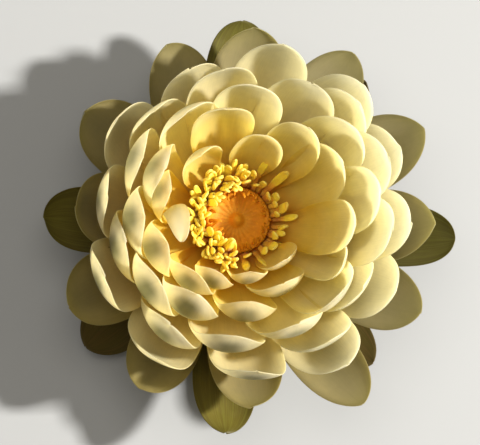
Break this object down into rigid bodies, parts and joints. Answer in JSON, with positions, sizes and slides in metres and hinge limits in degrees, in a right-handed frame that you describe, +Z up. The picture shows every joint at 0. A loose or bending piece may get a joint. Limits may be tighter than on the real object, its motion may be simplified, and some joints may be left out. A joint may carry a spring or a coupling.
{
  "type": "water lily flower",
  "caption": "Many-petalled water lily bloom, cut short: an open cup of spoon-shaped petals round a broad stigma disc.",
  "frame": {"origin": "middle of the flower's outline, on the surface that it rests on", "axes": "+Z up through the bloom, from the cut stalk to the stigma disc; X and Y lie in the resting surface"},
  "size_m": [0.1313, 0.1308, 0.0556],
  "materials": {
    "sepal": "matt dark olive green above, paler below, faintly ribbed",
    "outer_petal": "satin pale yellow green with darker fine veins",
    "petal": "satin waxy cream, yellower to the foot, light shows through",
    "inner_petal": "satin waxy yellow, golden at the foot, light shows through",
    "stamen": "satin golden yellow",
    "pistil": "velvety orange stigma disc, ovary and stalk pale green"
  },
  "bodies": {
    "root": {"pistil": "pistil", "sepal_1": "sepal", "sepal_2": "sepal", "sepal_3": "sepal", "sepal_4": "sepal", "outer_petal_1": "outer_petal", "outer_petal_2": "outer_petal", "outer_petal_3": "outer_petal", "outer_petal_4": "outer_petal", "ring1_petal_1": "petal", "ring1_petal_2": "petal", "ring1_petal_3": "petal", "ring1_petal_4": "petal", "ring1_petal_5": "petal", "ring1_petal_6": "petal", "ring1_petal_7": "petal", "ring1_petal_8": "petal", "ring1_petal_9": "petal", "ring1_petal_10": "petal", "ring1_petal_11": "petal", "ring1_petal_12": "petal", "ring2_petal_1": "petal", "ring2_petal_2": "petal", "ring2_petal_3": "petal", "ring2_petal_4": "petal", "ring2_petal_5": "petal", "ring2_petal_6": "petal", "ring2_petal_7": "petal", "ring2_petal_8": "petal", "ring2_petal_9": "petal", "ring2_petal_10": "petal", "ring2_petal_11": "petal", "ring2_petal_12": "petal", "ring3_petal_1": "petal", "ring3_petal_2": "petal", "ring3_petal_3": "petal", "ring3_petal_4": "petal", "ring3_petal_5": "petal", "ring3_petal_6": "petal", "ring3_petal_7": "petal", "ring3_petal_8": "petal", "ring3_petal_9": "petal", "ring3_petal_10": "petal", "ring3_petal_11": "petal", "ring3_petal_12": "petal", "ring4_petal_1": "petal", "ring4_petal_2": "petal", "ring4_petal_3": "petal", "ring4_petal_4": "petal", "ring4_petal_5": "petal", "ring4_petal_6": "petal", "ring4_petal_7": "petal", "ring4_petal_8": "petal", "ring4_petal_9": "petal", "ring4_petal_10": "petal", "ring4_petal_11": "petal", "inner_petals": "inner_petal", "innermost_petals": "inner_petal", "outer_stamens": "stamen", "inner_stamens": "stamen"}
  },
  "joints": []
}
